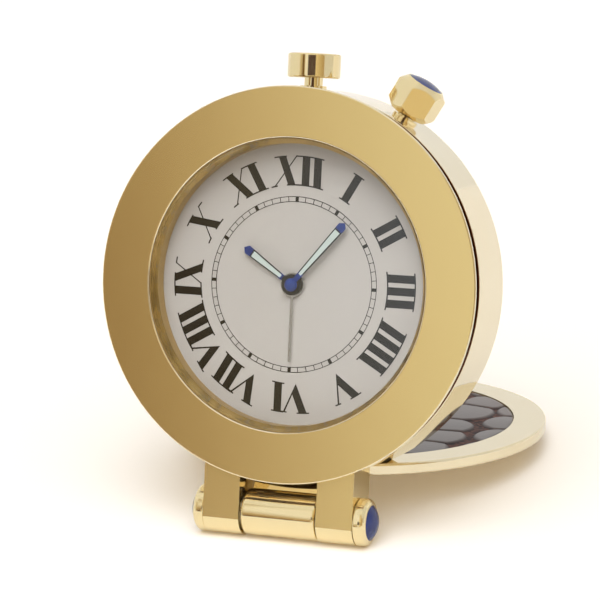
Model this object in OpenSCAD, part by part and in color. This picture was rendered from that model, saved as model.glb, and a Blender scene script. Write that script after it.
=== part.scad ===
/* [Case] */
// Outer radius of the bezel
bezel_radius = 35; // [34:0.5:37]
// Radius of the opening in the bezel
bezel_opening = 25.9; // [25.5:0.1:26.3]
// Thickness of the bezel's flange
bezel_thickness = 0.7; // [0.6:0.1:1.2]
// Rounding of the bezel's edges
bezel_edge = 0.25; // [0.15:0.05:0.3]
// Width of the groove between the bezel's flange and the band
groove_width = 2.6; // [2.3:0.1:2.9]
// Outer radius of the case band
band_radius = 34.7; // [34.2:0.1:35.2]
// Thickness of the band's wall
band_wall = 6.9; // [6.4:0.1:7.2]
// Rounding of the band's edges
band_edge = 0.25; // [0.2:0.05:0.5]
// Depth of the case, from the bezel's front face to the back of the band
case_depth = 17.5; // [17:0.25:18]
// How far the bezel's sleeve enters the band
sleeve_length = 1.1; // [0.9:0.1:1.5]
// How much wider the sleeve is than the band's cavity
sleeve_step = 3.4; // [3:0.1:3.8]
// Wall of the bezel's sleeve
sleeve_wall = 3.6; // [3.2:0.1:3.8]
// Thickness of the case back's rim
back_thickness = 1.4; // [1.2:0.1:1.6]
// How much wider the case back is than the band's cavity
back_step = 2.1; // [1.9:0.1:2.2]
// Radius of the raised flat face of the case back
back_face_radius = 26.5; // [25:0.5:27]
// Height of the raised flat face above the rim
back_face_height = 0.4; // [0.2:0.1:0.8]
// Number of screws in the case back
back_screw_count = 4; // [3:1:8]
// Radius of the case back's screw heads
back_screw_head = 0.85; // [0.7:0.05:0.95]
// Radius of small screw shanks
screw_shank = 0.5; // [0.4:0.05:0.55]

/* [Crystal and dial] */
// Setback of the crystal behind the bezel's front face
crystal_setback = 0.25; // [0.1:0.05:0.5]
// Thickness of the crystal
crystal_thickness = 2.5; // [2:0.1:2.8]
// Radial width of the crystal's gasket
gasket_width = 0.2; // [0.15:0.05:0.6]
// Distance from the crystal to the dial
flange_height = 2.55; // [2.45:0.05:2.8]
// Radius of the opening in the flange ring
flange_opening = 24.9; // [24.5:0.1:25.2]
// Thickness of the dial
dial_thickness = 0.5; // [0.4:0.05:0.6]
// Radius of the hole in the dial
dial_hole = 1.9; // [1.8:0.05:2]
// Thickness of the printed ink
ink_thickness = 0.03; // [0.02:0.01:0.05]
// Inner radius of the numerals
numeral_inner = 17.5; // [17:0.1:18]
// Outer radius of the numerals
numeral_outer = 22.8; // [22.2:0.1:23.5]
// Width of the numerals' broad strokes
broad_stroke = 1.42; // [1.2:0.02:1.6]
// Width of the numerals' hairlines
hairline = 0.24; // [0.18:0.02:0.3]
// How far a serif stands out beside its stroke
serif_reach = 0.45; // [0.3:0.05:0.5]
// Inner radius of the minute track
track_inner = 14.6; // [14.2:0.1:15]
// Outer radius of the minute track
track_outer = 15.6; // [15.3:0.1:16.2]
// Width of the minute track's lines
track_line = 0.12; // [0.1:0.02:0.16]
// Width of the blocks at every fifth minute
track_block = 0.6; // [0.4:0.05:0.8]

/* [Hands] */
// Length of the minute hand from the centre
minute_hand_length = 14.9; // [13:0.1:16]
// Length of the hour hand from the centre
hour_hand_length = 11.1; // [10:0.1:12]
// Length of the alarm hand from the centre
alarm_hand_length = 13.7; // [12:0.1:14.4]
// Width of the hands beside the hub
hand_base_width = 0.85; // [0.7:0.05:1]
// Width of the hands at the shoulder of the point
hand_tip_width = 1.6; // [1.4:0.05:1.8]
// Length of the taper at the hands' tips
hand_taper = 0.7; // [0.5:0.05:1]
// Where the luminous inlays begin, measured from the centre
lume_start = 2.5; // [2.3:0.1:3]
// Length of the solid point beyond the luminous inlays
hand_point = 2; // [1.6:0.1:2.4]
// Rim of the hands beside the luminous inlay
hand_rim = 0.2; // [0.15:0.01:0.24]
// Width of the alarm hand
alarm_hand_width = 0.42; // [0.3:0.02:0.6]
// Thickness of the hands
hand_thickness = 0.2; // [0.15:0.01:0.22]
// Free space between one hand and the next
hand_gap = 0.25; // [0.2:0.01:0.27]
// Rim of the hour hand's hub around its pipe
hour_hub_rim = 0.75; // [0.6:0.05:0.9]
// Rim of the alarm hand's boss around its pipe
alarm_boss_rim = 0.65; // [0.5:0.05:0.8]
// Radius of the domed cap on the minute hand
hand_cap_radius = 1.2; // [1:0.05:1.4]
// Height of the domed cap
hand_cap_height = 0.9; // [0.7:0.05:0.95]
// Where the minute hand points, in degrees clockwise from twelve
minute_angle = 40; // [0:1:359]
// Where the hour hand points
hour_angle = 303.5; // [0:0.5:359]
// Where the alarm hand points
alarm_angle = 180; // [0:1:359]

/* [Movement] */
// Radius of the main plate
plate_radius = 20.6; // [20.2:0.1:21]
// Thickness of the main plate
plate_thickness = 1; // [0.9:0.05:1.1]
// Thickness of the train bridge
bridge_thickness = 0.8; // [0.6:0.1:1]
// Width of the bridge's arms
bridge_arm = 3.2; // [2.8:0.1:3.6]
// Radius of the bridge's pillars
pillar_radius = 1.1; // [1:0.05:1.2]
// Thickness of the gear wheels
wheel_thickness = 0.4; // [0.3:0.05:0.45]
// Free space between one wheel and the next
wheel_gap = 0.25; // [0.22:0.01:0.3]
// Radius of the arbors
arbor_radius = 0.5; // [0.45:0.05:0.6]
// Radius of the pivots at the arbors' ends
pivot_radius = 0.3; // [0.25:0.01:0.35]
// Radial clearance of every turning or sliding fit
running_clearance = 0.04; // [0.02:0.01:0.06]
// Outer radius of the cannon pinion's pipe
cannon_pipe = 0.75; // [0.7:0.01:0.78]
// Wall of the hour and alarm pipes
pipe_wall = 0.34; // [0.3:0.01:0.36]
// Radius of the rotor's magnet
magnet_radius = 2; // [1.6:0.1:2.2]
// Height of the rotor's magnet
magnet_height = 1.4; // [1:0.1:1.5]
// Radius of the coil
coil_radius = 2.2; // [1.8:0.1:2.4]
// Length of the coil
coil_length = 11; // [9:0.5:12]
// Radius of the battery
battery_radius = 5.8; // [5.2:0.1:5.9]
// Height of the battery
battery_height = 5.4; // [4.6:0.1:5.6]
// Radius of the battery hatch
hatch_radius = 7; // [6.6:0.1:7.4]
// Radius of the buzzer
buzzer_radius = 6.5; // [5:0.5:7]
// Thickness of the buzzer
buzzer_thickness = 0.6; // [0.4:0.1:0.8]

/* [Button and crown] */
// Radius of the alarm button's head
button_radius = 4.7; // [4.2:0.1:5.2]
// Height of the alarm button's head
button_height = 4.3; // [3.6:0.1:5]
// Rounding of the alarm button's edges
button_edge = 0.35; // [0.2:0.05:0.6]
// Travel of the alarm button
button_travel = 1.2; // [0.8:0.1:1.3]
// Free space between the band and the button's head
head_gap = 1.9; // [1.9:0.1:2.4]
// Radius of the necks of the button and crown
neck_radius = 1.65; // [1.5:0.05:1.8]
// Wall of the tubes that guide the necks
tube_wall = 0.7; // [0.6:0.05:0.8]
// How far the tubes stand out of the band
tube_collar = 0.5; // [0.3:0.1:0.6]
// Thickness of the tubes' floors
tube_floor = 1; // [0.8:0.1:1.2]
// Radius of the stems inside the case
stem_radius = 0.6; // [0.5:0.05:0.65]
// Height of the compressed button spring
spring_height = 1.6; // [1.4:0.1:1.8]
// Free space between the band and the crown's head
crown_gap = 1; // [0.9:0.1:1.4]
// Where the crown stands, in degrees clockwise from twelve
crown_angle = 30; // [26:1:34]
// Radius over the crown's corners
crown_radius = 4.65; // [4.2:0.05:5]
// Height of the crown's head
crown_height = 6.3; // [5.4:0.1:6.6]
// Height of the crown's chamfers
crown_chamfer = 1.3; // [1:0.1:1.6]
// Turn of the crown's flats about its own axis
crown_flat_angle = 26; // [0:1:59]
// Pull of the crown
crown_pull = 1; // [0.6:0.1:1.1]
// Radius of the cabochon in the crown
crown_gem_radius = 3.2; // [2.8:0.1:3.3]
// Height of the crown's cabochon
crown_gem_height = 0.6; // [0.4:0.1:1]
// Height of the pin caps' cabochons
cap_gem_height = 1.2; // [0.8:0.1:1.5]

/* [Hinge] */
// Depth of the hinge axis behind the bezel's front face
hinge_depth = 5.75; // [5.5:0.05:6]
// Distance of the hinge axis below the bezel
hinge_gap = 6.05; // [5.9:0.05:6.4]
// Radius of the lugs' round bottoms and of the pin caps
lug_radius = 4.3; // [4.25:0.05:4.5]
// Half of the lugs' thickness, front to back
lug_flat = 4.15; // [3.95:0.05:4.2]
// Distance of the lugs' inner faces from the middle
lug_inner = 7.3; // [7:0.05:8]
// Distance of the lugs' outer faces from the middle
lug_outer = 14.1; // [13.5:0.1:15]
// Radius of the hinge pin
pin_radius = 1.25; // [1:0.05:1.5]
// Length of the pin caps
cap_length = 2.2; // [1.9:0.1:2.8]
// Rounding of the pin caps' shoulders
cap_round = 1.15; // [0.8:0.05:1.2]
// Rounding of the pin caps' edges beside the lugs
cap_edge = 0.3; // [0.2:0.05:0.4]
// Radius of the cabochons in the pin caps
cap_gem_radius = 3.1; // [2.8:0.1:3.3]
// Thickness of the washers beside the knuckle
washer_thickness = 0.2; // [0.15:0.01:0.25]
// Radius of the washers
washer_radius = 3.2; // [2.4:0.1:3.8]
// Radius of the lug screws' heads
lug_screw_head = 1.2; // [1:0.1:1.4]

/* [Stand] */
// Radius of the stand's disc
stand_radius = 35; // [34:0.5:36]
// Thickness of the stand's disc
stand_thickness = 2.15; // [2:0.05:2.3]
// Rounding of the disc's edges
disc_edge = 0.4; // [0.2:0.05:0.6]
// Gap between the closed disc and the bezel
stand_gap = 0.25; // [0.2:0.01:0.3]
// Angle between the dial and the open disc
stand_angle = 80.85; // [80:0.05:82]
// Free space between the open disc and its seat on the band
stop_clearance = 0.04; // [0.02:0.01:0.1]
// Radius of the leather inlay
leather_radius = 28.9; // [28:0.1:30]
// Thickness of the leather inlay
leather_thickness = 0.8; // [0.6:0.05:0.85]
// How far the leather lies below the disc's rim
leather_setback = 0.05; // [0.02:0.01:0.1]
// Radius of the knuckle's barrel
barrel_radius = 4.2; // [4:0.05:4.25]
// Rounding of the barrel's ends
barrel_round = 0.6; // [0.3:0.05:0.9]
// Where the knuckle's neck begins, measured from the hinge axis
neck_front = 1; // [0.6:0.1:1.4]
// Thickness of the knuckle's neck
neck_thickness = 4.1; // [3.7:0.1:4.2]
// Height of the neck's underside at its back, above the hinge axis
neck_under = 2.6; // [2.2:0.1:3]
// How far the knuckle's tongue reaches under the disc
tongue_reach = 5; // [4.6:0.1:5.2]
// Thickness of the tongue
tongue_thickness = 0.95; // [0.85:0.05:1]
// Half of the tongue's width
tongue_half = 6; // [5.6:0.1:6.4]

/* [Hidden] */

$fn = 96;
// Clearance of seated, fixed pieces
seat = 0.02;
// Overlap of cutting shapes beyond the piece they cut
over = 1;
// Far beyond every piece, for cuts that have no end
far = 100;

// Depths behind the bezel's front face
crystal_back = crystal_setback + crystal_thickness;
dial_front = crystal_back + flange_height;
dial_back = dial_front + dial_thickness;
band_front = bezel_thickness + groove_width;
sleeve_end = band_front + sleeve_length;
back_seat = case_depth - back_thickness;
alarm_wheel_front = dial_back + wheel_gap;
hour_wheel_front = alarm_wheel_front + wheel_thickness + wheel_gap;
minute_wheel_front = hour_wheel_front + wheel_thickness + wheel_gap;
plate_front = minute_wheel_front + wheel_thickness + wheel_gap;
plate_back = plate_front + plate_thickness;
centre_wheel_front = plate_back + wheel_gap;
second_wheel_front = centre_wheel_front + wheel_thickness + 2 * wheel_gap;
magnet_front = second_wheel_front + wheel_thickness + 2 * wheel_gap;
bridge_front = magnet_front + magnet_height + 2 * wheel_gap;
bridge_back = bridge_front + bridge_thickness;
stator_thickness = 0.8;
stator_front = magnet_front + (magnet_height - stator_thickness) / 2;
control_depth = plate_back + wheel_gap + stem_radius;
alarm_hand_front = dial_front - hand_gap - hand_thickness;
hour_hand_front = alarm_hand_front - hand_gap - hand_thickness;
minute_hand_front = hour_hand_front - hand_gap - hand_thickness;

// Radii of the case
cavity_radius = band_radius - band_wall;
sleeve_radius = cavity_radius + sleeve_step;
sleeve_bore = sleeve_radius - sleeve_wall;
back_radius = cavity_radius + back_step;
back_screw_margin = 0.15;
back_screw_circle = back_radius - back_screw_head - back_screw_margin;
back_screw_length = 3.2;
back_screw_angle = 45;
crystal_radius = bezel_opening - gasket_width;
ring_clearance = 0.2;
ring_radius = cavity_radius - ring_clearance;
plate_clearance = 0.1;
ring_bore = plate_radius + plate_clearance;

// Pipes of the hands, one inside the next
hour_pipe_bore = cannon_pipe + running_clearance;
hour_pipe = hour_pipe_bore + pipe_wall;
alarm_pipe_bore = hour_pipe + running_clearance;
alarm_pipe = alarm_pipe_bore + pipe_wall;

// Corners of a tooth: the share of a pitch beside its middle, and the height in modules
tooth_corners = [[-0.27, -1.1], [-0.11, 0.85], [0.11, 0.85], [0.27, -1.1]];

// Tooth counts and modules of the gears
cannon_teeth = 12;
minute_teeth = 36;
minute_pinion_teeth = 10;
hour_teeth = 40;
minute_module = 0.25;
hour_module = 0.24;
alarm_teeth = 40;
alarm_setting_teeth = 20;
alarm_module = 0.3;
pinion_teeth = 8;
centre_teeth = 40;
second_teeth = 48;
centre_module = 0.25;
rotor_module = 0.2;
clutch_teeth = 10;
clutch_module = 0.24;

// Places of the movement's pieces, seen from the front
minute_wheel_angle = 225;
second_angle = 300;
rotor_angle = 270;
minute_wheel_at = clock_point(minute_wheel_angle, minute_module * (cannon_teeth + minute_teeth) / 2);
alarm_setting_at = clock_point(crown_angle, alarm_module * (alarm_teeth + alarm_setting_teeth) / 2);
second_at = clock_point(second_angle, centre_module * (centre_teeth + pinion_teeth) / 2);
rotor_at = second_at + clock_point(rotor_angle, rotor_module * (second_teeth + pinion_teeth) / 2);
pillars = [[6.2, -3.4], [-4.5, 10.2], [-10.5, -4.6]];
board_posts = [[9.5, -1.5], [15.5, 4.5]];
board_post_radius = 0.9;
board_gap = 2.2;
board_front = plate_back + board_gap;
board_thickness = 0.6;
board_corner = [7.6, -3.6];
board_size = [9.6, 9.8];
battery_at = [7.4, -11.6];
buzzer_at = [-7.5, -8.5];
core_at = [-15, -3.2];
core_width = 1.8;
stator_leg = 2;
stator_half = 3.4;
stator_gap = 0.4;
chip_size = [4, 0.8, 3];
chip_at = [10, 0.2];
can_radius = 0.9;
can_length = 5.5;
can_at = [11.2, 4.6];
gear_post = 0.45;
post_bore = gear_post + running_clearance;
screw_head_radius = 0.9;
screw_head_height = 0.5;
cup_wall = 0.8;
battery_clearance = 0.1;
cup_bore = battery_radius + battery_clearance;
cup_gap = 0.2;
cup_back = back_seat - cup_gap;
contact_radius = 2.9;
contact_tip = 0.95;
hatch_thickness = 1.1;
hatch_lip = 0.9;
hatch_slot = [8, 1.2, 0.5];
hatch_setback = 0.1;
hatch_front = case_depth + back_face_height - hatch_thickness - hatch_setback;
hatch_gasket_height = 0.3;
battery_back = hatch_front - hatch_gasket_height - seat;
battery_front = battery_back - battery_height;

// Button and crown, measured outwards from the middle of the case
button_bottom = band_radius + head_gap;
button_top = button_bottom + button_height;
crown_bottom = band_radius + crown_gap;
tube_radius = neck_radius + running_clearance + tube_wall;
tube_end = band_radius + tube_collar;
well_bottom = cavity_radius + tube_floor;
button_shoulder = well_bottom + spring_height + button_travel + running_clearance;
clip_thickness = 0.4;
clip_radius = 1.6;
clip_top = cavity_radius - running_clearance;
stem_tip = 0.8;
button_end = clip_top - clip_thickness - stem_tip;
leaf_thickness = 0.4;
leaf_half = 1.4;
contact_gap = 0.2;
leaf_top = button_end - button_travel - contact_gap;
pocket_radius = 2.3;
crown_seal_height = 1;
crown_shoulder = well_bottom + crown_seal_height + 2 * running_clearance;
crown_gem_floor = crown_bottom + crown_height - crown_gem_height / 2;
crown_stem_end = 12.6;
clutch_start = 12.9;
clutch_length = 1.6;
clutch_slot_half = 2;
clutch_slot_margin = 0.5;
yoke_start = 17.4;
yoke_thickness = 0.6;
yoke_groove = 0.36;
yoke_half = 1.8;
yoke_front = stem_radius + wheel_gap / 2;
yoke_tail = 1.1;
yoke_back = stem_radius + yoke_tail;

// Hinge and stand
hinge_drop = bezel_radius + hinge_gap;
knuckle_half = lug_inner - washer_thickness - 2 * running_clearance;
pin_bore = pin_radius + running_clearance;
pin_overhang = cap_length / 2;
pin_half = lug_outer + pin_overhang;
cap_gem_floor = cap_length - cap_gem_height / 2;
stand_under = hinge_depth + stand_gap;
stand_top = stand_under + stand_thickness;
stand_centre = hinge_drop;
neck_back = neck_front + neck_thickness;
neck_half = knuckle_half - barrel_round;
neck_lip = 0.8;
neck_sink = 0.3;
neck_foot = barrel_radius - neck_sink;
tongue_end = neck_back + tongue_reach;
lug_screw_x = (lug_inner + lug_outer) / 2;
lug_screw_setback = 0.6;
lug_screw_depth = hinge_depth + lug_screw_setback;
lug_screw_floor = 0.4;
lug_screw_seat = cavity_radius + lug_screw_floor;
lug_screw_height = 0.9;
lug_screw_reach = 6.5;
stand_screw_margin = 2;
stand_screw_at = [3.6, tongue_end - stand_screw_margin];
stand_screw_head = 1.05;
stand_screw_shank = 0.55;
stand_screw_depth = 0.55;
opening = 90 - stand_angle;
reach = stand_centre + stand_radius;
slope = atan(stand_under / reach) + asin(lug_radius / norm([stand_under, reach]));
lean = slope + opening;
front_most = max(lug_radius, hinge_depth * cos(lean) - hinge_gap * sin(lean));
back_most = reach * cos(slope) + stand_top * sin(slope);
middle = (back_most - front_most) / 2;
// The slot that the knuckle's neck stands in, in the case's own directions from the hinge axis
slot_clearance = 0.3;
slot_front = neck_front * cos(opening) - stand_top * sin(opening) - slot_clearance;
slot_top = neck_back * sin(opening) + stand_top * cos(opening) + slot_clearance;
slot_half = knuckle_half + slot_clearance;
// Where the seat for the open disc begins, measured along the disc
seat_margin = 0.1;
seat_front = stand_centre - sqrt(pow(stand_radius, 2) - pow(lug_inner, 2)) - seat_margin;
slot_back = seat_front + over;
// Where the disc ends behind the lugs, which lean towards it
lug_room = 0.3;
disc_front = lug_flat * cos(opening) + stand_top * sin(opening) + lug_room;

// Half widths of the letters, where the letter five's point lies, and the steps from letter to letter
five_half = 2;
five_point = -0.05;
ten_thick = 1.28;
ten_thin = 2.15;
one_pitch = 2.2;
five_to_one = 3.25;
ten_to_one = 3.6;
one_to_ten = 3.2;
// How far a numeral moves towards its narrow end, because five and ten are wider letters than one
five_lead = 0.3;
ten_lead = 0.7;

// Colours
gold = "#d9b25f";
satin_gold = "#c9a55a";
brass = "#b5943f";
steel = "#b8bcc0";
black = "#26241f";
blue = "#2b4690";

// A point at an angle clockwise from twelve, seen from the front
function clock_point(angle, radius) = [radius * sin(angle), radius * cos(angle)];

// Where a screw of the case back stands
function back_screw_point(i) =
  clock_point(back_screw_angle + 360 * i / back_screw_count, back_screw_circle);

// Points along an arc
function arc(at, radius, from, to, steps = 6) = [
  for (i = [0 : steps])
    let (angle = from + (to - from) * i / steps)
      at + radius * [cos(angle), sin(angle)]
];

// The radius of the ball whose cap has this base and height
function ball_radius(base, height) = (base * base + height * height) / (2 * height);

// Outline of a gear: each tooth rises from the root, narrows to its tip and falls back
function gear_outline(teeth, size) = [
  for (i = [0 : teeth - 1], corner = tooth_corners)
    let (angle = 360 * (i + corner[0]) / teeth, radius = size * (teeth / 2 + corner[1]))
      [radius * cos(angle), radius * sin(angle)]
];

// The turn that sets a tooth towards a clock angle, seen from behind
function tooth_towards(angle) = angle - 90;

// The turn that sets a gap towards a clock angle, seen from behind
function gap_towards(angle, teeth) = angle - 90 + 180 / teeth;

// Places the case: leaned back about the hinge axis, standing on the table
module in_case() {
  translate([0, -middle, lug_radius])
    rotate([-lean, 0, 0])
      translate([0, -hinge_depth, hinge_drop])
        children();
}

// Places the stand: along y from the hinge axis, sloping down to the table
module in_stand() {
  translate([0, -middle, lug_radius])
    rotate([-slope, 0, 0])
      children();
}

// The stand's directions within the case, for the cuts that receive it
module stand_in_case() {
  translate([0, hinge_depth, -hinge_drop])
    rotate([opening, 0, 0])
      children();
}

// Sets a shape that rises along z so that it runs back from a depth
module from_depth(depth, at = [0, 0]) {
  translate([at[0], depth, at[1]])
    rotate([-90, 0, 0])
      children();
}

// A flat shape seen from the front, from one depth to another
module plate(front, back) {
  translate([0, back, 0])
    rotate([90, 0, 0])
      linear_extrude(back - front)
        children();
}

// A round post or hole from one depth to another
module round_at(at, radius, front, back) {
  from_depth(front, at)
    cylinder(r = radius, h = back - front);
}

// Sets a shape that rises along z so that it points outwards at a clock angle
module outwards(angle) {
  translate([0, control_depth, 0])
    rotate([0, angle, 0])
      children();
}

// A round post or hole between two distances from the middle
module radial_round(angle, radius, start, end) {
  outwards(angle)
    translate([0, 0, start])
      cylinder(r = radius, h = end - start);
}

// A ring turned about the dial's axis
module turned(points) {
  from_depth(0)
    rotate_extrude()
      polygon(points);
}

// A gear wheel from one depth to another, with its tooth or gap already turned
module gear(at, teeth, size, turn, front, back) {
  from_depth(front, at)
    rotate(turn)
      linear_extrude(back - front)
        polygon(gear_outline(teeth, size));
}

// A straight arm between two points of a flat shape
module arm(from, to, width) {
  translate(from)
    rotate(atan2(to[1] - from[1], to[0] - from[0]))
      translate([0, -width / 2])
        square([norm(to - from), width]);
}

// The room for the open disc, round like its edge
module seat_cut() {
  stand_in_case()
    translate([0, stand_centre, -far])
      cylinder(r = stand_radius + seat_margin, h = far + stand_top + stop_clearance);
}

// The slot that the knuckle's neck swings in
module slot_cut() {
  translate([-slot_half, hinge_depth + slot_front, -hinge_drop])
    cube([2 * slot_half, slot_back - slot_front, slot_top]);
}

// Screw with a flat head, pointing away from the viewer
module screw(at, head, head_height, shank, front, back) {
  round_at(at, head, back - head_height, back);
  round_at(at, shank, front, back);
}

module case_band() {
  color(gold)
    in_case()
      difference() {
        turned(concat(
          [[sleeve_radius, band_front]],
          arc([band_radius - band_edge, band_front + band_edge], band_edge, -90, 0),
          arc([band_radius - band_edge, case_depth - band_edge], band_edge, 0, 90),
          [[back_radius, case_depth], [back_radius, back_seat], [cavity_radius, back_seat],
           [cavity_radius, sleeve_end], [sleeve_radius, sleeve_end]]));
        slot_cut();
        seat_cut();
        for (angle = [0, crown_angle])
          radial_round(angle, tube_radius, 0, band_radius + over);
        for (i = [0 : back_screw_count - 1])
          round_at(back_screw_point(i), screw_shank, back_seat - back_screw_length, back_seat + over);
        for (side = [-1, 1])
          translate([side * lug_screw_x, lug_screw_depth, 0]) {
            translate([0, 0, -far])
              cylinder(r = screw_shank + seat, h = far - lug_screw_seat + over);
            translate([0, 0, -lug_screw_seat])
              cylinder(r = lug_screw_head + seat, h = lug_screw_seat / 2);
          }
      }
}

module bezel() {
  color(satin_gold)
    in_case()
      turned(concat(
        arc([bezel_opening + bezel_edge, bezel_edge], bezel_edge, 180, 270),
        arc([bezel_radius - bezel_edge, bezel_edge], bezel_edge, -90, 0),
        arc([bezel_radius - bezel_edge, bezel_thickness - bezel_edge], bezel_edge, 0, 90),
        [[sleeve_radius - seat, bezel_thickness], [sleeve_radius - seat, sleeve_end],
         [sleeve_bore, sleeve_end], [sleeve_bore, crystal_back], [bezel_opening, crystal_back]]));
}

module crystal() {
  color("#e8f0f2", 0.35)
    in_case()
      round_at([0, 0], crystal_radius, crystal_setback, crystal_back);
}

module crystal_gasket() {
  color(black)
    in_case()
      difference() {
        round_at([0, 0], bezel_opening - seat, crystal_setback + bezel_edge, crystal_back);
        round_at([0, 0], crystal_radius + seat, -over, crystal_back + over);
      }
}

module flange_ring() {
  color(gold)
    in_case()
      turned([[flange_opening, crystal_back], [sleeve_bore - seat, crystal_back],
              [sleeve_bore - seat, sleeve_end], [ring_radius, sleeve_end],
              [ring_radius, dial_front], [flange_opening, dial_front]]);
}

module dial() {
  color("#cbc3bd")
    in_case()
      difference() {
        round_at([0, 0], ring_radius, dial_front, dial_back);
        round_at([0, 0], dial_hole, dial_front - over, dial_back + over);
      }
}

// A flat ring between two radii
module flat_ring(inner, outer) {
  difference() {
    circle(r = outer);
    circle(r = inner);
  }
}

// A thin serif on the circle at one end of a stroke
module serif(x, width, inner) {
  intersection() {
    flat_ring(inner, inner + hairline);
    translate([x - width / 2 - serif_reach, 0])
      square([width + 2 * serif_reach, numeral_outer + over]);
  }
}

// A stroke from the inner to the outer circle, with a serif at both ends
module stroke(inner_x, outer_x, width) {
  intersection() {
    flat_ring(numeral_inner, numeral_outer);
    polygon([[inner_x - width / 2, numeral_inner - over / 2],
             [inner_x + width / 2, numeral_inner - over / 2],
             [outer_x + width / 2, numeral_outer + over / 2],
             [outer_x - width / 2, numeral_outer + over / 2]]);
  }
  serif(inner_x, width, numeral_inner);
  serif(outer_x, width, numeral_outer - hairline);
}

// The letter five: a broad and a thin stroke that meet in a point at the inner circle
module letter_five(x) {
  left = -five_half - broad_stroke / 4;
  right = five_half + hairline / 2;
  meet = (right - left - broad_stroke - hairline) / (right - left);
  height = numeral_outer - numeral_inner;
  translate([x, 0]) {
    difference() {
      polygon([[left, numeral_outer - hairline], [right, numeral_outer - hairline],
               [five_point, numeral_inner]]);
      polygon([[left + broad_stroke, numeral_outer], [right - hairline, numeral_outer],
               [left + broad_stroke + meet * (five_point - left), numeral_outer - meet * height]]);
    }
    serif(left + broad_stroke / 2, broad_stroke, numeral_outer - hairline);
    serif(right - hairline / 2, hairline, numeral_outer - hairline);
  }
}

// The letter ten: a broad stroke crossed by a hairline
module letter_ten(x) {
  stroke(x + ten_thick, x - ten_thick, broad_stroke);
  stroke(x - ten_thin, x + ten_thin, hairline);
}

// A row of ones, the first at x
module letter_ones(x, count) {
  for (i = [0 : 1 : count - 1])
    stroke(x + i * one_pitch, x + i * one_pitch, broad_stroke);
}

// The numeral of an hour, upright at twelve
module numeral(hour) {
  if (hour <= 4) {
    letter_ones(-(hour - 1) * one_pitch / 2, hour);
  } else if (hour <= 8) {
    ones = hour - 5;
    shift = ones == 0 ? 0 : (five_to_one + (ones - 1) * one_pitch) / 2 - five_lead;
    letter_five(-shift);
    letter_ones(five_to_one - shift, ones);
  } else if (hour == 9) {
    letter_ones(-one_to_ten / 2 - ten_lead, 1);
    letter_ten(one_to_ten / 2 - ten_lead);
  } else {
    ones = hour - 10;
    shift = ones == 0 ? 0 : (ten_to_one + (ones - 1) * one_pitch) / 2 - ten_lead;
    letter_ten(-shift);
    letter_ones(ten_to_one - shift, ones);
  }
}

module minute_track() {
  flat_ring(track_inner, track_inner + track_line);
  flat_ring(track_outer - track_line, track_outer);
  for (minute = [0 : 59]) {
    width = minute % 5 == 0 ? track_block : track_line;
    rotate(6 * minute)
      translate([-width / 2, track_inner + track_line / 2])
        square([width, track_outer - track_inner - track_line]);
  }
}

module dial_print() {
  color(black)
    in_case()
      plate(dial_front - ink_thickness, dial_front) {
        for (hour = [1 : 12])
          rotate(-30 * hour)
            numeral(hour);
        minute_track();
      }
}

module case_back() {
  color(gold)
    in_case()
      difference() {
        union() {
          round_at([0, 0], back_radius - seat, back_seat, case_depth);
          round_at([0, 0], back_face_radius, case_depth - over, case_depth + back_face_height);
        }
        round_at(buzzer_at, buzzer_radius + seat, back_seat - over, back_seat + buzzer_thickness);
        round_at(battery_at, hatch_radius + seat, hatch_front, case_depth + over);
        round_at(battery_at, hatch_radius - hatch_lip, back_seat - over, case_depth + over);
        for (i = [0 : back_screw_count - 1]) {
          round_at(back_screw_point(i), screw_shank + seat, back_seat - over, case_depth + over);
          round_at(back_screw_point(i), back_screw_head + seat,
                   case_depth - screw_head_height, case_depth + over);
        }
      }
}

module case_back_screws() {
  color(steel)
    in_case()
      for (i = [0 : back_screw_count - 1])
        screw(back_screw_point(i), back_screw_head, screw_head_height, screw_shank - seat,
              back_seat - back_screw_length + seat, case_depth);
}

module battery_hatch() {
  color(gold)
    in_case()
      difference() {
        round_at(battery_at, hatch_radius, hatch_front, hatch_front + hatch_thickness);
        translate([battery_at[0] - hatch_slot[0] / 2, hatch_front + hatch_thickness - hatch_slot[2],
                   battery_at[1] - hatch_slot[1] / 2])
          cube([hatch_slot[0], over, hatch_slot[1]]);
      }
}

module hatch_gasket() {
  color(black)
    in_case()
      difference() {
        round_at(battery_at, hatch_radius - hatch_lip - seat, hatch_front - hatch_gasket_height, hatch_front);
        round_at(battery_at, hatch_radius - 2 * hatch_lip, back_seat - over, case_depth);
      }
}

// A lug: flat in front and behind, round below, hollowed above to sit on the band
module hinge_lug(side) {
  color(gold)
    in_case()
      difference() {
        translate([side > 0 ? lug_inner : -lug_outer, hinge_depth, -hinge_drop])
          rotate([90, 0, 90])
            linear_extrude(lug_outer - lug_inner)
              intersection() {
                union() {
                  circle(r = lug_radius);
                  translate([-lug_flat, 0])
                    square([2 * lug_flat, hinge_drop - cavity_radius]);
                }
                translate([-lug_flat, -lug_radius])
                  square([2 * lug_flat, far]);
              }
        from_depth(-over)
          cylinder(r = band_radius + seat, h = case_depth + over);
        from_depth(-over)
          cylinder(r = bezel_radius + seat, h = over + bezel_thickness + seat);
        translate([0, hinge_depth, -hinge_drop])
          rotate([0, 90, 0])
            cylinder(r = pin_radius + seat, h = far, center = true);
        translate([side * lug_screw_x, lug_screw_depth, -lug_screw_seat - lug_screw_reach - seat])
          cylinder(r = screw_shank, h = far);
      }
}

module hinge_lug_left() {
  hinge_lug(-1);
}

module hinge_lug_right() {
  hinge_lug(1);
}

module lug_screws() {
  color(steel)
    in_case()
      for (side = [-1, 1])
        translate([side * lug_screw_x, lug_screw_depth, -lug_screw_seat]) {
          cylinder(r = lug_screw_head, h = lug_screw_height);
          translate([0, 0, -lug_screw_reach])
            cylinder(r = screw_shank - seat, h = lug_screw_reach + lug_screw_height / 2);
        }
}

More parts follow.
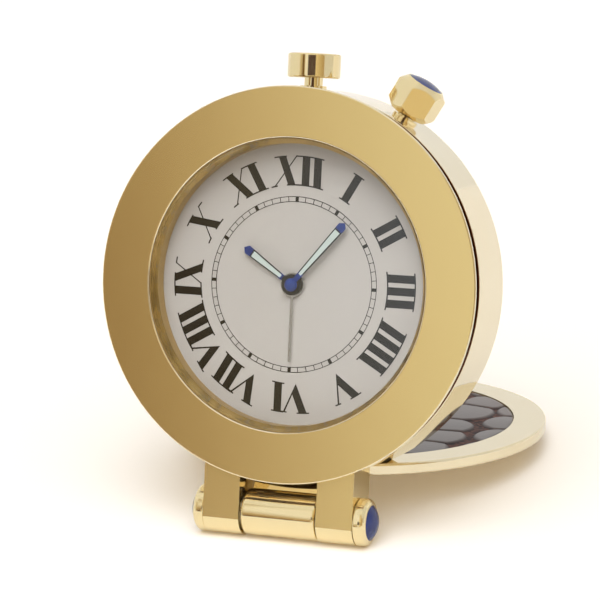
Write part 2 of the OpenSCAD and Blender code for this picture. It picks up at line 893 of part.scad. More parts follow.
// A round piece along the hinge axis, from one distance to another
module hinge_round(radius, start, end) {
  translate([start, hinge_depth, -hinge_drop])
    rotate([0, 90, 0])
      cylinder(r = radius, h = end - start);
}

module hinge_pin() {
  color(steel)
    in_case()
      hinge_round(pin_radius, -pin_half, pin_half);
}

module hinge_washers() {
  color(steel)
    in_case()
      for (side = [-1, 1])
        difference() {
          hinge_round(washer_radius, side > 0 ? lug_inner - washer_thickness : -lug_inner,
                      side > 0 ? lug_inner : -lug_inner + washer_thickness);
          hinge_round(pin_bore, -lug_inner, lug_inner);
        }
}

// Caps on the ends of the hinge pin, each with a rounded shoulder and a seat for its cabochon
module pin_caps() {
  color(gold)
    in_case()
      for (side = [-1, 1])
        translate([side * (lug_outer + seat), hinge_depth, -hinge_drop])
          rotate([0, side * 90, 0])
            rotate_extrude()
              polygon(concat(
                [[pin_radius + seat, 0]],
                arc([lug_radius - cap_edge, cap_edge], cap_edge, -90, 0),
                arc([lug_radius - cap_round, cap_length - cap_round], cap_round, 0, 90),
                [[cap_gem_radius + seat, cap_length], [cap_gem_radius + seat, cap_gem_floor],
                 [0, cap_gem_floor], [0, pin_overhang],
                 [pin_radius + seat, pin_overhang]]));
}

// A cabochon: a short round base below a cap of a ball, rising along z
module cabochon(radius, height) {
  base = height / 2;
  ball = ball_radius(radius, height);
  cylinder(r = radius, h = base);
  intersection() {
    translate([0, 0, base + height - ball])
      sphere(r = ball);
    translate([0, 0, base / 2])
      cylinder(r = radius, h = far);
  }
}

module cap_cabochons() {
  color(blue)
    in_case()
      for (side = [-1, 1])
        translate([side * (lug_outer + seat + cap_gem_floor), hinge_depth, -hinge_drop])
          rotate([0, side * 90, 0])
            cabochon(cap_gem_radius, cap_gem_height);
}

// The knuckle: a barrel on the pin, a neck that ramps up behind it and a tongue let into the disc
module stand_knuckle() {
  color(gold)
    in_stand()
      difference() {
        union() {
          rotate([0, 90, 0])
            rotate_extrude()
              polygon(concat(
                [[0, -knuckle_half]],
                arc([barrel_radius - barrel_round, barrel_round - knuckle_half], barrel_round, -90, 0),
                arc([barrel_radius - barrel_round, knuckle_half - barrel_round], barrel_round, 0, 90),
                [[0, knuckle_half]]));
          translate([-neck_half, 0, 0])
            rotate([90, 0, 90])
              linear_extrude(2 * neck_half)
                polygon([[neck_front, 0], [neck_back, neck_under], [neck_back, stand_top],
                         [neck_back - neck_lip, stand_top], [neck_front, neck_foot]]);
          translate([-tongue_half, neck_back - over, stand_under])
            cube([2 * tongue_half, tongue_reach + over, tongue_thickness]);
        }
        rotate([0, 90, 0])
          cylinder(r = pin_bore, h = far, center = true);
        for (side = [-1, 1])
          translate([side * stand_screw_at[0], stand_screw_at[1], stand_under]) {
            cylinder(r = stand_screw_shank + seat, h = far);
            translate([0, 0, -over])
              cylinder(r = stand_screw_head + seat, h = over + tongue_thickness / 2);
          }
      }
}

module stand_disc() {
  color(gold)
    in_stand()
      difference() {
        translate([0, stand_centre, stand_under])
          rotate_extrude()
            polygon(concat(
              [[0, 0]],
              arc([stand_radius - disc_edge, disc_edge], disc_edge, -90, 0),
              arc([stand_radius - disc_edge, stand_thickness - disc_edge], disc_edge, 0, 90),
              [[leather_radius + seat, stand_thickness],
               [leather_radius + seat, stand_thickness - leather_thickness - leather_setback],
               [0, stand_thickness - leather_thickness - leather_setback]]));
        translate([-far, disc_front - far, 0])
          cube([2 * far, far, far]);
        translate([-neck_half - seat, 0, 0])
          cube([2 * (neck_half + seat), neck_back + seat, far]);
        translate([-tongue_half - seat, 0, 0])
          cube([2 * (tongue_half + seat), tongue_end + seat, stand_under + tongue_thickness + seat]);
        for (side = [-1, 1])
          translate([side * stand_screw_at[0], stand_screw_at[1], stand_under])
            cylinder(r = stand_screw_shank, h = tongue_thickness + stand_screw_depth + seat);
      }
}

module stand_screws() {
  color(steel)
    in_stand()
      for (side = [-1, 1])
        translate([side * stand_screw_at[0], stand_screw_at[1], stand_under]) {
          cylinder(r = stand_screw_head, h = tongue_thickness / 2);
          cylinder(r = stand_screw_shank - seat, h = tongue_thickness + stand_screw_depth);
        }
}

module leather_inlay() {
  color("#8c8484")
    in_stand()
      translate([0, stand_centre, stand_top - leather_setback - leather_thickness])
        cylinder(r = leather_radius, h = leather_thickness);
}

module alarm_button() {
  color(gold)
    in_case()
      outwards(0)
        rotate_extrude()
          polygon(concat(
            [[0, button_end], [stem_radius, button_end], [stem_radius, button_shoulder],
             [neck_radius, button_shoulder], [neck_radius, button_bottom]],
            arc([button_radius - button_edge, button_bottom + button_edge], button_edge, -90, 0),
            arc([button_radius - button_edge, button_top - button_edge], button_edge, 0, 90),
            [[0, button_top]]));
}

module button_clip() {
  color(steel)
    in_case()
      difference() {
        radial_round(0, clip_radius, clip_top - clip_thickness, clip_top);
        radial_round(0, stem_radius + seat, clip_top - over, clip_top + over);
      }
}

// A guide tube pressed into the band, with a floor that the stem passes
module guide_tube(angle) {
  color(gold)
    in_case()
      difference() {
        radial_round(angle, tube_radius - seat, cavity_radius, tube_end);
        radial_round(angle, neck_radius + running_clearance, well_bottom, tube_end + over);
        radial_round(angle, stem_radius + running_clearance, cavity_radius - over, tube_end);
      }
}

module button_tube() {
  guide_tube(0);
}

module crown_tube() {
  guide_tube(crown_angle);
}

module button_spring() {
  color(steel)
    in_case()
      difference() {
        radial_round(0, neck_radius, well_bottom, well_bottom + spring_height);
        radial_round(0, stem_radius + 2 * running_clearance, cavity_radius, tube_end);
      }
}

module alarm_contact() {
  color(brass)
    in_case()
      outwards(0)
        translate([-leaf_half, -leaf_half, leaf_top - leaf_thickness])
          cube([2 * leaf_half, 2 * leaf_half, leaf_thickness]);
}

// The crown: a six-sided head, chamfered above and below, with a recess for its cabochon
module crown() {
  color(gold)
    in_case()
      outwards(crown_angle)
        difference() {
          union() {
            intersection() {
              translate([0, 0, crown_bottom])
                rotate(crown_flat_angle)
                  cylinder(r = crown_radius, h = crown_height, $fn = 6);
              translate([0, 0, crown_bottom])
                rotate_extrude()
                  polygon([[0, 0], [crown_radius - crown_chamfer, 0], [crown_radius, crown_chamfer],
                           [crown_radius, crown_height - crown_chamfer],
                           [crown_radius - crown_chamfer, crown_height], [0, crown_height]]);
            }
            translate([0, 0, crown_shoulder])
              cylinder(r = neck_radius, h = crown_bottom - crown_shoulder + over);
          }
          translate([0, 0, crown_shoulder - over])
            cylinder(r = stem_radius + seat, h = crown_bottom - crown_shoulder + 2 * over);
          translate([0, 0, crown_gem_floor])
            cylinder(r = crown_gem_radius + seat, h = crown_gem_height);
        }
}

module crown_cabochon() {
  color(blue)
    in_case()
      outwards(crown_angle)
        translate([0, 0, crown_gem_floor])
          cabochon(crown_gem_radius, crown_gem_height);
}

module crown_stem() {
  color(steel)
    in_case()
      difference() {
        radial_round(crown_angle, stem_radius, crown_stem_end, crown_bottom + over);
        difference() {
          radial_round(crown_angle, stem_radius + over, yoke_start - running_clearance,
                       yoke_start + yoke_thickness + running_clearance);
          radial_round(crown_angle, yoke_groove, crown_stem_end, crown_bottom);
        }
      }
}

module crown_gasket() {
  color(black)
    in_case()
      difference() {
        radial_round(crown_angle, neck_radius, well_bottom + running_clearance,
                     well_bottom + running_clearance + crown_seal_height);
        radial_round(crown_angle, stem_radius + seat, cavity_radius, tube_end);
      }
}

module clutch_pinion() {
  color(brass)
    in_case()
      outwards(crown_angle)
        translate([0, 0, clutch_start])
          linear_extrude(clutch_length)
            difference() {
              polygon(gear_outline(clutch_teeth, clutch_module));
              circle(r = stem_radius + seat);
            }
}

// The yoke: a fork that rides in the stem's groove and moves with its pull
module setting_yoke() {
  color(steel)
    in_case()
      outwards(crown_angle)
        difference() {
          translate([-yoke_half, -yoke_front, yoke_start])
            cube([2 * yoke_half, yoke_front + yoke_back, yoke_thickness]);
          translate([0, 0, yoke_start - over])
            cylinder(r = yoke_groove + running_clearance, h = yoke_thickness + 2 * over);
          translate([-yoke_groove - running_clearance, 0, yoke_start - over])
            cube([2 * (yoke_groove + running_clearance), far, yoke_thickness + 2 * over]);
        }
}

module movement_ring() {
  color("#3a3c40")
    in_case()
      difference() {
        round_at([0, 0], ring_radius, dial_back, back_seat);
        round_at([0, 0], ring_bore, dial_back - over, back_seat + over);
        radial_round(0, pocket_radius, leaf_top - leaf_thickness, cavity_radius + over);
        radial_round(crown_angle, stem_radius + running_clearance, 0, cavity_radius + over);
      }
}

module main_plate() {
  color(brass)
    in_case()
      difference() {
        union() {
          round_at([0, 0], plate_radius, plate_front, plate_back);
          for (at = pillars)
            round_at(at, pillar_radius, plate_front, bridge_front);
          for (at = board_posts)
            round_at(at, board_post_radius, plate_front, board_front);
          round_at(minute_wheel_at, gear_post, hour_wheel_front, plate_back);
          round_at(alarm_setting_at, gear_post, alarm_wheel_front, plate_back);
        }
        round_at([0, 0], cannon_pipe + running_clearance, plate_front - over, plate_back + over);
        round_at(battery_at, contact_radius + seat, plate_front - over, plate_back + over);
        for (at = [second_at, rotor_at])
          round_at(at, pivot_radius + running_clearance, plate_front - over, plate_back + over);
        for (at = pillars)
          round_at(at, screw_shank, plate_back, bridge_front + over);
        for (at = board_posts)
          round_at(at, screw_shank, plate_back, board_front + over);
        outwards(crown_angle)
          translate([-clutch_slot_half, -far, clutch_start - clutch_slot_margin])
            cube([2 * clutch_slot_half, far, clutch_length + crown_pull + 2 * clutch_slot_margin]);
      }
}

module train_bridge() {
  color(brass)
    in_case()
      difference() {
        plate(bridge_front, bridge_back) {
          for (at = concat(pillars, [[0, 0], second_at, rotor_at]))
            translate(at)
              circle(d = bridge_arm);
          arm(pillars[0], [0, 0], bridge_arm);
          arm([0, 0], second_at, bridge_arm);
          arm(second_at, rotor_at, bridge_arm);
          arm(pillars[1], second_at, bridge_arm);
          arm(pillars[2], second_at, bridge_arm);
        }
        for (at = [[0, 0], second_at, rotor_at])
          round_at(at, pivot_radius + running_clearance, bridge_front - over, bridge_back + over);
        for (at = pillars)
          round_at(at, screw_shank + seat, bridge_front - over, bridge_back + over);
      }
}

module movement_screws() {
  color(steel)
    in_case() {
      for (at = pillars)
        screw(at, screw_head_radius, screw_head_height, screw_shank - seat,
              plate_back + over, bridge_back + screw_head_height);
      for (at = board_posts)
        screw(at, screw_head_radius, screw_head_height, screw_shank - seat,
              plate_back + over, board_front + board_thickness + screw_head_height);
    }
}

module rotor() {
  color(steel)
    in_case() {
      gear(rotor_at, pinion_teeth, rotor_module, gap_towards(rotor_angle + 180, pinion_teeth),
           second_wheel_front - wheel_gap / 2, second_wheel_front + wheel_thickness + wheel_gap / 2);
      round_at(rotor_at, arbor_radius, plate_back + wheel_gap / 2, bridge_front - wheel_gap / 2);
      round_at(rotor_at, pivot_radius, plate_front, bridge_back);
      round_at(rotor_at, magnet_radius, magnet_front, magnet_front + magnet_height);
    }
}

module intermediate_wheel() {
  color(brass)
    in_case() {
      gear(second_at, second_teeth, rotor_module, tooth_towards(rotor_angle),
           second_wheel_front, second_wheel_front + wheel_thickness);
      gear(second_at, pinion_teeth, centre_module, gap_towards(second_angle + 180, pinion_teeth),
           centre_wheel_front - wheel_gap / 2, second_wheel_front);
      round_at(second_at, arbor_radius, plate_back + wheel_gap / 2, bridge_front - wheel_gap / 2);
      round_at(second_at, pivot_radius, plate_front, bridge_back);
    }
}

module centre_wheel() {
  color(brass)
    in_case() {
      gear([0, 0], centre_teeth, centre_module, tooth_towards(second_angle),
           centre_wheel_front, centre_wheel_front + wheel_thickness);
      gear([0, 0], cannon_teeth, minute_module, tooth_towards(minute_wheel_angle),
           minute_wheel_front - wheel_gap / 2, minute_wheel_front + wheel_thickness + wheel_gap / 2);
      round_at([0, 0], cannon_pipe, minute_hand_front, centre_wheel_front + wheel_thickness);
      round_at([0, 0], arbor_radius, centre_wheel_front, bridge_front - wheel_gap / 2);
      round_at([0, 0], pivot_radius, centre_wheel_front, bridge_back);
    }
}

module minute_wheel() {
  color(brass)
    in_case()
      difference() {
        union() {
          gear(minute_wheel_at, minute_teeth, minute_module,
               gap_towards(minute_wheel_angle + 180, minute_teeth),
               minute_wheel_front, minute_wheel_front + wheel_thickness);
          gear(minute_wheel_at, minute_pinion_teeth, hour_module,
               gap_towards(minute_wheel_angle + 180, minute_pinion_teeth),
               hour_wheel_front, minute_wheel_front);
        }
        round_at(minute_wheel_at, post_bore, dial_back, plate_front);
      }
}

module hour_wheel() {
  color(brass)
    in_case()
      difference() {
        union() {
          gear([0, 0], hour_teeth, hour_module, tooth_towards(minute_wheel_angle),
               hour_wheel_front, hour_wheel_front + wheel_thickness);
          round_at([0, 0], hour_pipe, hour_hand_front, hour_wheel_front + wheel_thickness);
        }
        round_at([0, 0], hour_pipe_bore, hour_hand_front - over, plate_front);
      }
}

module alarm_wheel() {
  color(brass)
    in_case()
      difference() {
        union() {
          gear([0, 0], alarm_teeth, alarm_module, tooth_towards(crown_angle),
               alarm_wheel_front, alarm_wheel_front + wheel_thickness);
          round_at([0, 0], alarm_pipe, alarm_hand_front, alarm_wheel_front + wheel_thickness);
        }
        round_at([0, 0], alarm_pipe_bore, alarm_hand_front - over, plate_front);
      }
}

module alarm_setting_wheel() {
  color(brass)
    in_case()
      difference() {
        gear(alarm_setting_at, alarm_setting_teeth, alarm_module,
             gap_towards(crown_angle + 180, alarm_setting_teeth),
             alarm_wheel_front, alarm_wheel_front + wheel_thickness);
        round_at(alarm_setting_at, post_bore, dial_back, plate_front);
      }
}

module stator() {
  leg = coil_length / 2 + stator_leg;
  color(steel)
    in_case()
      plate(stator_front, stator_front + stator_thickness)
        difference() {
          union() {
            translate([core_at[0] - core_width / 2, core_at[1] - leg])
              square([core_width, rotor_at[1] + stator_half - core_at[1] + leg]);
            translate([core_at[0], rotor_at[1] - stator_half])
              square([rotor_at[0] - core_at[0] + stator_half, 2 * stator_half]);
          }
          translate(rotor_at)
            circle(r = magnet_radius + stator_gap);
          translate([core_at[0] + core_width / 2, -far])
            square([far, far + core_at[1] + coil_length / 2 + seat]);
        }
}

module coil() {
  color("#9a5a2e")
    in_case()
      difference() {
        translate([core_at[0], stator_front + stator_thickness / 2, core_at[1] - coil_length / 2])
          cylinder(r = coil_radius, h = coil_length);
        translate([core_at[0] - core_width / 2 - seat, stator_front - seat, -far])
          cube([core_width + 2 * seat, stator_thickness + 2 * seat, 2 * far]);
      }
}

module circuit_board() {
  color("#2f6b3c")
    in_case()
      difference() {
        plate(board_front, board_front + board_thickness)
          translate(board_corner)
            square(board_size);
        for (at = board_posts)
          round_at(at, screw_shank + seat, board_front - over, board_front + over);
      }
}

module driver_chip() {
  color(black)
    in_case()
      translate([chip_at[0], board_front + board_thickness, chip_at[1]])
        cube(chip_size);
}

module quartz_can() {
  color(steel)
    in_case()
      translate([can_at[0] - can_length / 2, board_front + board_thickness + can_radius, can_at[1]])
        rotate([0, 90, 0])
          cylinder(r = can_radius, h = can_length);
}

module battery() {
  color(steel)
    in_case()
      round_at(battery_at, battery_radius, battery_front, battery_back);
}

module battery_cup() {
  color("#3a3c40")
    in_case()
      difference() {
        round_at(battery_at, cup_bore + cup_wall, plate_back, cup_back);
        round_at(battery_at, cup_bore, plate_back - over, back_seat);
      }
}

module battery_contact() {
  color(brass)
    in_case() {
      round_at(battery_at, contact_radius, plate_front, plate_front + leaf_thickness);
      round_at(battery_at, contact_tip, plate_front, battery_front);
    }
}

module buzzer() {
  color(brass)
    in_case()
      round_at(buzzer_at, buzzer_radius, back_seat, back_seat + buzzer_thickness);
}

// Outline of a hand that widens from its hub to the shoulder of its point
module hand_outline(length) {
  shoulder = length - hand_taper;
  polygon([[-hand_base_width / 2, 0], [-hand_tip_width / 2, shoulder], [0, length],
           [hand_tip_width / 2, shoulder], [hand_base_width / 2, 0]]);
}

// The opening in a hand that holds the luminous inlay
module lume_outline(length) {
  end = length - hand_point;
  shoulder = length - hand_taper;
  half_start = (hand_base_width + (hand_tip_width - hand_base_width) * lume_start / shoulder) / 2 - hand_rim;
  half_end = (hand_base_width + (hand_tip_width - hand_base_width) * end / shoulder) / 2 - hand_rim;
  polygon([[-half_start, lume_start], [-half_end, end], [half_end, end], [half_start, lume_start]]);
}

// A hand of this length and hub, with an opening for its inlay
module lume_hand(length, hub, bore, angle, front) {
  back = front + hand_thickness;
  color(blue)
    in_case()
      difference() {
        union() {
          round_at([0, 0], hub, front, back);
          plate(front, back)
            rotate(-angle)
              hand_outline(length);
        }
        plate(front - over, back + over)
          rotate(-angle)
            lume_outline(length);
        round_at([0, 0], bore, front - over, back + over);
      }
}

module hour_hand() {
  lume_hand(hour_hand_length, hour_pipe + hour_hub_rim, hour_pipe + seat, hour_angle, hour_hand_front);
}

module minute_hand() {
  lume_hand(minute_hand_length, hand_cap_radius, cannon_pipe + seat, minute_angle, minute_hand_front);
}

module alarm_hand() {
  color(steel)
    in_case()
      plate(alarm_hand_front, alarm_hand_front + hand_thickness)
        rotate(-alarm_angle)
          difference() {
            union() {
              circle(r = alarm_pipe + alarm_boss_rim);
              translate([-alarm_hand_width / 2, 0])
                square([alarm_hand_width, alarm_hand_length]);
            }
            circle(r = alarm_pipe + seat);
          }
}

// The luminous inlay of a hand
module lume(length, angle, front) {
  color("#d5e2dc")
    in_case()
      plate(front, front + hand_thickness)
        rotate(-angle)
          lume_outline(length);
}

module hour_lume() {
  lume(hour_hand_length, hour_angle, hour_hand_front);
}

module minute_lume() {
  lume(minute_hand_length, minute_angle, minute_hand_front);
}

module minute_hand_cap() {
  ball = ball_radius(hand_cap_radius, hand_cap_height);
  color(blue)
    in_case()
      intersection() {
        from_depth(minute_hand_front - hand_cap_height + ball)
          sphere(r = ball);
        round_at([0, 0], hand_cap_radius + over, minute_hand_front - over, minute_hand_front);
      }
}

case_band();
bezel();
crystal();
crystal_gasket();
flange_ring();
dial();
dial_print();
case_back();
case_back_screws();
battery_hatch();
hatch_gasket();
hinge_lug_left();
hinge_lug_right();
lug_screws();
hinge_pin();
hinge_washers();
pin_caps();
cap_cabochons();
stand_knuckle();
stand_disc();
stand_screws();
leather_inlay();
alarm_button();
button_clip();
button_tube();
button_spring();
alarm_contact();
crown();
crown_cabochon();
crown_stem();
crown_gasket();
crown_tube();
clutch_pinion();
setting_yoke();
movement_ring();
main_plate();
train_bridge();
movement_screws();
rotor();
intermediate_wheel();
centre_wheel();
minute_wheel();
hour_wheel();
alarm_wheel();
alarm_setting_wheel();
stator();
coil();
circuit_board();
driver_chip();
quartz_can();
battery();
battery_cup();
battery_contact();
buzzer();
hour_hand();
hour_lume();
minute_hand();
minute_lume();
minute_hand_cap();
alarm_hand();
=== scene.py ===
from math import radians

import bmesh
import bpy
import numpy as np
from mathutils import Matrix


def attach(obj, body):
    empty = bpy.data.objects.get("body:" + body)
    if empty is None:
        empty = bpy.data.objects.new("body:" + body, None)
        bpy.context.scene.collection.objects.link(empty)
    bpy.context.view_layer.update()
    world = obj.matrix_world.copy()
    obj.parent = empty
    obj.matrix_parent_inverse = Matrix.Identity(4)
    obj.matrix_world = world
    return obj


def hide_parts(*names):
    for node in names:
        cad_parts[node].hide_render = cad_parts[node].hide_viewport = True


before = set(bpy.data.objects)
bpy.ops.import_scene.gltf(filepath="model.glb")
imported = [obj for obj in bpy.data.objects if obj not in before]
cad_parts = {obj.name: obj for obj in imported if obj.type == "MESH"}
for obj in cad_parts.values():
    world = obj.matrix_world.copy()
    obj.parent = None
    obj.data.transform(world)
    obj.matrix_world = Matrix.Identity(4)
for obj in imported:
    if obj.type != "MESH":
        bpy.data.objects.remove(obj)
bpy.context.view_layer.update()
scene = bpy.context.scene

# THE VIEW
# A long lens a good half metre away looks down at the clock from its right, with the camera a little tilted.
# Turn, height angle and tilt were solved from the rims of bezel, minute track and disc in the photograph.
eye = (0.170944, -0.452385, 0.201768)
turn, height, tilt = radians(21.6914), radians(19.2661), radians(-3.4483)
film_width, frame_pixels, focal_pixels = 36, 600, 2753.44
lens = bpy.data.cameras.new("studio_camera")
lens.sensor_width = film_width
lens.lens = film_width * focal_pixels / frame_pixels
lens.clip_start, lens.clip_end = 0.01, 20
camera = bpy.data.objects.new("studio_camera", lens)
camera.matrix_world = (Matrix.Translation(eye) @ Matrix.Rotation(turn, 4, "Z")
                       @ Matrix.Rotation(radians(90) - height, 4, "X") @ Matrix.Rotation(tilt, 4, "Z"))
scene.collection.objects.link(camera)
scene.camera = camera
scene.view_settings.view_transform = "Standard"


# THE STUDIO
# A white light tent with two broad patches of soft light high in front, warmer low down, and a paper table.
# Its front is open to a dim, warm room with the camera in the middle, which only polished pieces show.
def tint(code):
    """Linear RGBA of an sRGB hex colour."""
    part = np.array([int(code[i:i + 2], 16) for i in (1, 3, 5)]) / 255
    flat = np.where(part <= 0.04045, part / 12.92, ((part + 0.055) / 1.055) ** 2.4)
    return (*map(float, flat), 1.0)


def add(tree, kind, inputs, **settings):
    """Adds a shader node with its settings; a socket given as an input is linked, any other value is set."""
    made = tree.nodes.new("ShaderNode" + kind)
    for name, value in settings.items():
        setattr(made, name, value)
    for name, value in inputs.items():
        if isinstance(value, bpy.types.NodeSocket):
            tree.links.new(value, made.inputs[name])
        else:
            made.inputs[name].default_value = value
    return made


tent = bpy.data.worlds.new("light_tent")
tent.use_nodes = True
tree = tent.node_tree
tree.nodes.clear()
scene.world = tent
gaze = add(tree, "TexCoord", {}).outputs["Generated"]
way = add(tree, "SeparateXYZ", {0: gaze})
ahead = add(tree, "Math", {0: way.outputs["Y"], 1: -1.0}, operation="MULTIPLY").outputs[0]
across = add(tree, "Math", {0: way.outputs["X"], 1: ahead}, operation="ARCTAN2").outputs[0]
upward = add(tree, "Math", {0: way.outputs["Z"]}, operation="ARCSINE").outputs[0]


def between(angle, low, high, edge_low, edge_high):
    """One where an angle lies between two others, in degrees, fading to zero over an edge at each end."""
    rise = add(tree, "MapRange", {"Value": angle, "From Min": radians(low - edge_low / 2),
                                  "From Max": radians(low + edge_low / 2)}, interpolation_type="SMOOTHSTEP")
    fall = add(tree, "MapRange", {"Value": angle, "From Min": radians(high + edge_high / 2),
                                  "From Max": radians(high - edge_high / 2)}, interpolation_type="SMOOTHSTEP")
    return add(tree, "Math", {0: rise.outputs[0], 1: fall.outputs[0]}, operation="MULTIPLY").outputs[0]


# Where the room and the dark camera stand, across and upward, in degrees from straight in front.
room = add(tree, "Math", {0: between(across, -47, 66, 6, 6), 1: between(upward, -60, 52, 4, 8)},
           operation="MULTIPLY").outputs[0]
lens_dark = add(tree, "Math", {0: between(across, -8, 27, 3, 3), 1: between(upward, 10, 25, 4, 4)},
                operation="MULTIPLY").outputs[0]
right_wall = between(across, 66, 125, 6, 10)

# Its left half is brown, paler at the far end, and whitens in two steps along a slanted line near the middle.
slant = 0.35
brighter = add(tree, "Math", {0: upward, 1: slant, 2: across}, operation="MULTIPLY_ADD").outputs[0]
left_tone = tint("#6A4408")
for angle, start, end, tone in ((across, -31, -39, "#D2C09A"), (brighter, -20.8, -17.4, "#C4AE86"),
                                (brighter, -17.4, -14, "#FAFAFA")):
    share = add(tree, "MapRange", {"Value": angle, "From Min": radians(start), "From Max": radians(end)})
    left_tone = add(tree, "Mix", {"Factor": share.outputs[0], "A": left_tone, "B": tint(tone)},
                    data_type="RGBA").outputs["Result"]

# Its right half is sand coloured and darkens evenly outwards.
darker = add(tree, "MapRange", {"Value": across, "From Min": radians(30), "From Max": radians(62)})
right_tone = add(tree, "Mix", {"Factor": darker.outputs[0], "A": tint("#E8D4A8"), "B": tint("#B89E6C")},
                 data_type="RGBA").outputs["Result"]
right_half = add(tree, "MapRange", {"Value": across, "From Min": radians(-4), "From Max": radians(4)})
room_tone = add(tree, "Mix", {"Factor": right_half.outputs[0], "A": left_tone, "B": right_tone},
                data_type="RGBA").outputs["Result"]
mirror_tone = tint("#F2F2F1")
for share, tone in ((right_wall, tint("#E2E2E4")), (room, room_tone), (lens_dark, tint("#46302E"))):
    mirror_tone = add(tree, "Mix", {"Factor": share, "A": mirror_tone, "B": tone},
                      data_type="RGBA").outputs["Result"]

# Matt surfaces get warm light from low down and white light from above, and the camera sees plain white.
path = add(tree, "LightPath", {})
seen = path.outputs["Is Camera Ray"]
mirrored = add(tree, "Math", {0: path.outputs["Is Glossy Ray"], 1: path.outputs["Is Transmission Ray"]},
               operation="MAXIMUM").outputs[0]
climb = add(tree, "MapRange", {"Value": upward, "From Max": radians(40)}, interpolation_type="SMOOTHSTEP")
shown = tint("#C87C2C")
for share, tone in ((climb.outputs[0], tint("#FFFFFF")), (seen, tint("#FFFFFF")), (mirrored, mirror_tone)):
    shown = add(tree, "Mix", {"Factor": share, "A": shown, "B": tone}, data_type="RGBA").outputs["Result"]

# Each patch of light falls off as a power of the cosine from its middle; a faint light comes from all sides.
all_round, sharpness = 0.14, 12.0
light = all_round
for middle, strength in (((0.3018, -0.3596, 0.8829), 2.3), ((-0.0436, -0.4981, 0.8660), 4.9)):
    cosine = add(tree, "VectorMath", {0: gaze, 1: middle}, operation="DOT_PRODUCT").outputs["Value"]
    facing = add(tree, "Math", {0: cosine, 1: 0.0}, operation="MAXIMUM").outputs[0]
    patch = add(tree, "Math", {0: facing, 1: sharpness}, operation="POWER").outputs[0]
    light = add(tree, "Math", {0: patch, 1: strength, 2: light}, operation="MULTIPLY_ADD").outputs[0]
plain = add(tree, "Math", {0: seen, 1: mirrored}, operation="MAXIMUM").outputs[0]
level = add(tree, "Mix", {"Factor": plain, "A": light, "B": 1.0}).outputs["Result"]
glow = add(tree, "Background", {"Color": shown, "Strength": level})
add(tree, "OutputWorld", {"Surface": glow.outputs[0]})
tent.cycles.sampling_method = "NONE"

# The paper is brightened to white for the camera, and a little in mirrors, without lighting the clock.
mirror_share = 0.3
table = bpy.data.meshes.new("table")
table.from_pydata([(-1, -0.3, 0), (1, -0.3, 0), (1, 2, 0), (-1, 2, 0)], [], [(0, 1, 2, 3)])
table_top = bpy.data.objects.new("table", table)
scene.collection.objects.link(table_top)
paper = bpy.data.materials.new("white_paper")
paper.use_nodes = True
tree = paper.node_tree
tree.nodes.clear()
path = add(tree, "LightPath", {})
fibre = add(tree, "BsdfDiffuse", {"Color": tint("#F5F5F4")})
looked_at = add(tree, "Math", {0: path.outputs["Is Glossy Ray"], 1: mirror_share,
                               2: path.outputs["Is Camera Ray"]}, operation="MULTIPLY_ADD")
lit = add(tree, "Emission", {"Color": tint("#82725A"), "Strength": looked_at.outputs[0]})
sheet = add(tree, "AddShader", {0: fibre.outputs[0], 1: lit.outputs[0]})
add(tree, "OutputMaterial", {"Surface": sheet.outputs[0]})
table.materials.append(paper)


# THE MOVEMENT'S BRASS
# Main plate, bridge, wheels and contacts are stamped and turned from brass and left with a fine grain.
# They sit inside the case, held by screws, and never show from outside.
def finish(name):
    """A new material with an empty tree and its object coordinates."""
    made = bpy.data.materials.new(name)
    made.use_nodes = True
    made.node_tree.nodes.clear()
    return made, made.node_tree, add(made.node_tree, "TexCoord", {}).outputs["Object"]


def grained(name, light, dark, metallic, roughness, grain, depth, gloss=0.5):
    """A surface of two close tones with a fine grain: the grain is a real size in millimetres, which sets the
    noise that mixes the tones, varies the roughness and lifts the surface by depth millimetres."""
    made, tree, place = finish(name)
    noise = add(tree, "TexNoise", {"Vector": place, "Scale": 1000 / grain, "Detail": 3.0}).outputs["Fac"]
    tone = add(tree, "Mix", {"Factor": noise, "A": tint(dark), "B": tint(light)}, data_type="RGBA")
    rough = add(tree, "MapRange", {"Value": noise, "To Min": roughness * 0.8, "To Max": roughness * 1.2})
    bump = add(tree, "Bump", {"Height": noise, "Strength": 0.5, "Distance": depth / 1000})
    skin = add(tree, "BsdfPrincipled", {"Base Color": tone.outputs["Result"], "Metallic": metallic,
                                        "Roughness": rough.outputs[0], "Normal": bump.outputs[0],
                                        "Specular IOR Level": gloss})
    add(tree, "OutputMaterial", {"Surface": skin.outputs[0]})
    return made


def dress(made, *names):
    """Gives a material to CAD nodes."""
    for name in names:
        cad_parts[name].data.materials.clear()
        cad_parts[name].data.materials.append(made)


dress(grained("stamped_brass", "#C4A24A", "#A88432", metallic=1.0, roughness=0.3, grain=0.4, depth=0.01),
      "main_plate", "train_bridge", "centre_wheel", "intermediate_wheel", "minute_wheel", "hour_wheel",
      "alarm_wheel", "alarm_setting_wheel", "clutch_pinion", "alarm_contact", "battery_contact", "buzzer")

# STEEL PIECES
# Screws, pins, springs, stem, stator and cell can are turned or stamped from steel.
# They hold the case, hinge and movement together, and only the heads of the back screws show.
dress(grained("turned_steel", "#C8CACC", "#A4A6AA", metallic=1.0, roughness=0.28, grain=0.3, depth=0.008),
      "movement_screws", "stator", "rotor", "quartz_can", "battery", "button_clip", "button_spring",
      "crown_stem", "setting_yoke", "case_back_screws", "lug_screws", "hinge_pin", "hinge_washers",
      "stand_screws")

